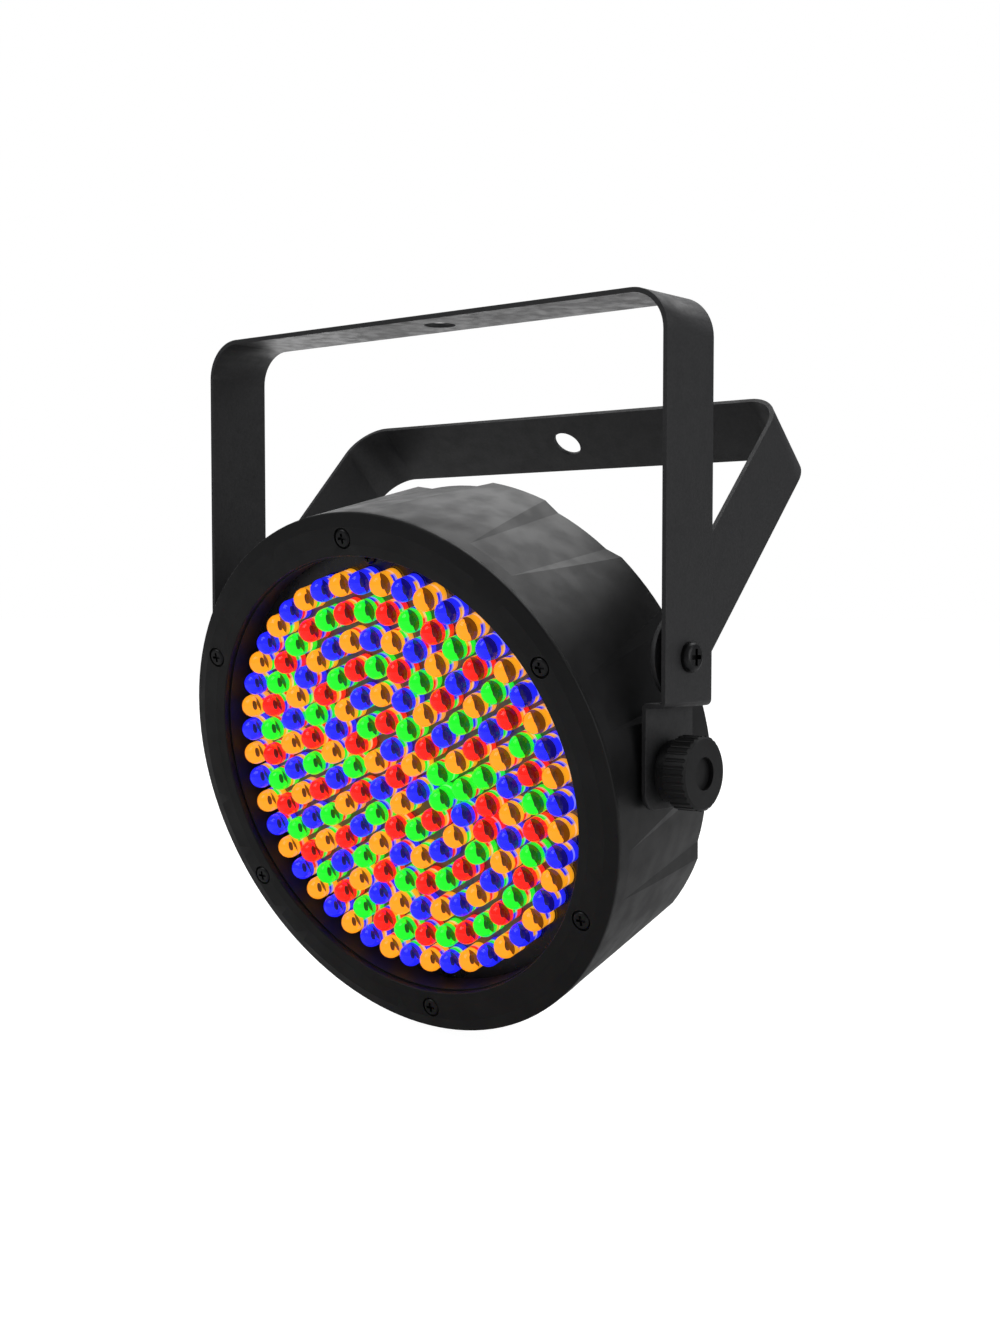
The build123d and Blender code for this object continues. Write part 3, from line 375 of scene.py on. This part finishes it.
def revolved(places, base, profile, name, look, tint_of=None):
    """One mesh with a turned copy of profile [(radius, height), ...] at every place.

    tint_of(place, row, angle) gives a vertex's colour."""
    vertices, faces, tints = [], [], []
    angles = [2 * math.pi * i / LED_SEGMENTS for i in range(LED_SEGMENTS)]
    for place in places:
        rows = []
        for row, (radius, height) in enumerate(profile):
            turns = angles if radius else angles[:1]
            rows.append(list(range(len(vertices), len(vertices) + len(turns))))
            for a in turns:
                x, y = place[0] + radius * math.cos(a), place[1] + radius * math.sin(a)
                vertices.append(drum_point(x, y, base + height))
                if tint_of:
                    tints.append(tint_of(place, row, a))
        for lower, upper in zip(rows, rows[1:]):
            for i in range(LED_SEGMENTS):
                j = (i + 1) % LED_SEGMENTS
                if len(lower) == 1:
                    faces.append((lower[0], upper[j], upper[i]))
                elif len(upper) == 1:
                    faces.append((lower[i], lower[j], upper[0]))
                else:
                    faces.append((lower[i], lower[j], upper[j], upper[i]))
    return mesh_piece(name, vertices, faces, look, tints)


def lens_profile(height):
    """Outline of a round LED: flange, straight body and a half-round dome."""
    shoulder = height - LED_RADIUS
    outline = [(0, 0), (LED_FLANGE, 0), (LED_FLANGE, FLANGE_HEIGHT - FLANGE_ROLL)]
    outline += [(LED_FLANGE - FLANGE_ROLL, FLANGE_HEIGHT), (LED_RADIUS + FLANGE_ROLL, FLANGE_HEIGHT)]
    outline += [(LED_RADIUS, FLANGE_HEIGHT + FLANGE_ROLL)]
    outline += [(LED_RADIUS, 0.5 * shoulder), (LED_RADIUS, shoulder)]
    for i in range(1, DOME_STEPS):
        a = 0.5 * math.pi * i / DOME_STEPS
        outline.append((LED_RADIUS * math.cos(a), shoulder + LED_RADIUS * math.sin(a)))
    outline.append((0, height))
    return outline


# Glowing cup inside a lens: outer wall in bands up to a rim, then the inner wall and the floor.
# The cup's glow is painted light; its wall bands hold painted reflections and painted highlights.
CORE_WALL = 4.6 * MM
CORE_THIN = 0.25 * MM
CORE_FLOOR = 3.0 * MM
CORE_HEIGHTS = [h * MM for h in (0.3, 3.5, 3.6, 4.7, 4.8, 6.2, 6.3, 8.3)]
PALE_ROWS = (3, 4)
NEIGHBOUR_ROWS = (5, 6)


def core_profile():
    outline = [(0, CORE_HEIGHTS[0])] + [(CORE_WALL, height) for height in CORE_HEIGHTS]
    inner = CORE_WALL - CORE_THIN
    return outline + [(inner, CORE_HEIGHTS[-1]), (inner, CORE_FLOOR), (0, CORE_FLOOR)]


def toward(colour, other, share):
    """Mix of two colours; share is how much of the other it holds."""
    return tuple(c + share * (o - c) for c, o in zip(colour, other))


def core_tints(own, everyone):
    """Colour of a core: its own, with bands on the outside painted with the nearest neighbours' colours as painted
    reflections, the pale bands as painted highlights.
    """

    def tint_of(place, row, angle):
        if row not in PALE_ROWS + NEIGHBOUR_ROWS:
            return own
        facing = Vector((math.cos(angle), math.sin(angle)))
        best, found = NEIGHBOUR_FACING, own
        for spot, tint in everyone:
            gap = Vector(spot - place)
            if MM < gap.length < NEIGHBOUR_REACH and gap.normalized().dot(facing) > best:
                best, found = gap.normalized().dot(facing), tint
        return toward(found, WHITE, PALE_SHARE) if row in PALE_ROWS else found

    return tint_of


def led_group(colour, tint, everyone):
    """Lenses and glowing cores of one colour, in place of the CAD solids."""
    node = f"leds_{colour}"
    places, base, tip = led_places(node)
    lens_look = Look(f"lens_{colour}", toward(WHITE, tint, LENS_TINT), 0.02)
    lens_look.set("Transmission Weight", 1.0)
    lens_look.set("IOR", 1.5)
    lens_look.grain(3.0 * MM, 0.04 * MM)
    lens = revolved(places, base, lens_profile(tip - base), f"lenses_{colour}", lens_look)
    # The core's glow is painted light.
    core_look = Look(f"core_{colour}", tint, 0.5).painted(CORE_GLOW).grain(1.0 * MM, 0.03 * MM)
    tints = core_tints(tint, everyone)
    core = revolved(places, base, core_profile(), f"cores_{colour}", core_look, tints)
    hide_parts(node)
    for piece in (lens, core):
        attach(piece, "drum")


# Lead frame inside a lens: half sizes, and heights above the LED's base.
SEAT_HALF = (3.6 * MM, 4.2 * MM)
SEAT_LEVELS = (4.5 * MM, 4.8 * MM)
BLADE_HALF = (1.4 * MM, 0.6 * MM)
BLADE_HEIGHT = 8.0 * MM
BLADE_SIDES = (-0.25 * MM, 0.25 * MM)


def oval(half_width, half_height, count):
    turns = [2 * math.pi * i / count for i in range(count)]
    return [(half_width * math.cos(a), half_height * math.sin(a)) for a in turns]


def slab(corner, outline, levels, vertices, faces):
    """Adds a plate between two levels; corner(u, v, level) gives a point of its outline."""
    start, count = len(vertices), len(outline)
    for level in levels:
        vertices += [corner(u, v, level) for u, v in outline]
    faces.append(tuple(start + i for i in reversed(range(count))))
    faces.append(tuple(start + count + i for i in range(count)))
    for i in range(count):
        j = (i + 1) % count
        faces.append((start + i, start + j, start + count + j, start + count + i))


def lead_frames(everyone, base):
    """In every LED a dark lead frame: a flat seat low down, and a small upright blade on the axis. The lead frame
    is real, but its dark brown and wide seat paint in the dark patch of each dome as painted shade, and its faint
    glow is painted light.
    """
    look = Look("lead_frame", BROWN, 0.35).painted(FRAME_GLOW).grain(0.4 * MM, 0.02 * MM)
    seat = oval(*SEAT_HALF, 20)
    blade = oval(*BLADE_HALF, 12)
    vertices, faces, tints = [], [], []
    for place, tint in everyone:
        before = len(vertices)

        def seat_corner(x, y, height):
            return drum_point(place[0] + x, place[1] + y, base + height)

        def blade_corner(y, rise, x):
            return seat_corner(x, y, BLADE_HEIGHT + rise)

        slab(seat_corner, seat, SEAT_LEVELS, vertices, faces)
        slab(blade_corner, blade, BLADE_SIDES, vertices, faces)
        tints += [toward(BROWN, tint, BROWN_TINT)] * (len(vertices) - before)
    piece = mesh_piece("lead_frames", vertices, faces, look, tints, smooth=False)
    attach(piece, "drum")


def build_leds():
    everyone = []
    for colour, tint in LED_COLOURS.items():
        places, base, _ = led_places(f"leds_{colour}")
        everyone += [(place, tint) for place in places]
    for colour, tint in LED_COLOURS.items():
        led_group(colour, tint, everyone)
    lead_frames(everyone, base)


# ---------------------------------------------------------------- stage

CAMERA_AT = (0.4992, -0.5799, -0.1181)
CAMERA_TURN = 39.2
CAMERA_DOWN = 3.25
LENS = 48.18
SHIFT = (0.0097, 0.0280)

WORLD_GREY = (0.95, 0.97, 1.0, 1)
WORLD_STRENGTH = 0.16
FLOOR_HALF = 12.0
FLOOR_DROP = 0.004
FLOOR_GLOW, FLOOR_GLOW_SEEN = 0.08, 0.94


def area_light(name, place, target, size, power):
    data = bpy.data.lights.new(name, "AREA")
    data.shape = "RECTANGLE"
    data.size, data.size_y = size
    data.energy = power
    lamp = bpy.data.objects.new(name, data)
    lamp.location = place
    lamp.visible_camera = False
    lamp.rotation_euler = (Vector(target) - Vector(place)).to_track_quat("-Z", "Y").to_euler()
    bpy.context.scene.collection.objects.link(lamp)


def build_lights():
    """Soft studio light: place, size in metres and power in watts of each lamp."""
    middle = tuple(DRUM_AT)
    bar = (0, 0, 0)
    area_light("overhead", (-0.3, 1.1, 1.5), middle, (2.6, 1.4), 23)
    area_light("back_left", (-1.9, 1.5, 0.45), middle, (1.5, 1.0), 5)
    area_light("front", (-0.9, -1.5, 1.3), middle, (1.2, 1.2), 8)
    area_light("right", (2.0, 0.3, 0.3), middle, (1.4, 1.4), 8)
    area_light("bounce", (-0.45, 0.5, -0.29), bar, (0.5, 0.5), 1.2)


def build_world():
    """White to the camera, dim grey to everything that it lights."""
    world = bpy.data.worlds.new("studio")
    bpy.context.scene.world = world
    world.use_nodes = True
    tree = world.node_tree
    shown = tree.nodes.new("ShaderNodeBackground")
    shown.inputs["Color"].default_value = (1, 1, 1, 1)
    shown.inputs["Strength"].default_value = 1.0
    lit = tree.nodes["Background"]
    lit.inputs["Color"].default_value = WORLD_GREY
    lit.inputs["Strength"].default_value = WORLD_STRENGTH
    path = tree.nodes.new("ShaderNodeLightPath")
    mix = tree.nodes.new("ShaderNodeMixShader")
    tree.links.new(path.outputs["Is Camera Ray"], mix.inputs[0])
    tree.links.new(lit.outputs[0], mix.inputs[1])
    tree.links.new(shown.outputs[0], mix.inputs[2])
    tree.links.new(mix.outputs[0], tree.nodes["World Output"].inputs[0])


def build_floor():
    """Pale floor just under the lamp, near white to the camera and dimmer in reflections."""
    z = cad_box[0][2] - FLOOR_DROP
    look = Look("floor", (0.5, 0.5, 0.5), 0.9, specular=0.1).tone(0.4, (0.48, 0.48, 0.48))
    look.glow(WHITE, FLOOR_GLOW)
    path = look.add("ShaderNodeLightPath").outputs["Is Camera Ray"]
    level = look.add("ShaderNodeMapRange")
    level.inputs["To Min"].default_value = FLOOR_GLOW
    level.inputs["To Max"].default_value = FLOOR_GLOW_SEEN
    look.link(path, level.inputs["Value"])
    look.link(level.outputs[0], look.shader.inputs["Emission Strength"])
    signs = [(-1, -1), (1, -1), (1, 1), (-1, 1)]
    corners = [(i * FLOOR_HALF, j * FLOOR_HALF, z) for i, j in signs]
    mesh_piece("floor", corners, [(0, 1, 2, 3)], look)


def build_camera():
    data = bpy.data.cameras.new("camera")
    data.lens = LENS
    data.shift_x, data.shift_y = SHIFT
    camera = bpy.data.objects.new("camera", data)
    camera.location = CAMERA_AT
    camera.rotation_euler = (math.radians(90 - CAMERA_DOWN), 0, math.radians(CAMERA_TURN))
    bpy.context.scene.collection.objects.link(camera)
    bpy.context.scene.camera = camera


# ---------------------------------------------------------------- build

repaint_cad()
for name in ("main_yoke", "kickstand_yoke"):
    soften(name, 0.35 * MM, True)
for name in ("front_bezel", "safety_bracket"):
    soften(name, 0.25 * MM, False)

build_leds()

build_world()
build_floor()
build_camera()
build_lights()
bpy.context.scene.view_settings.view_transform = "Standard"
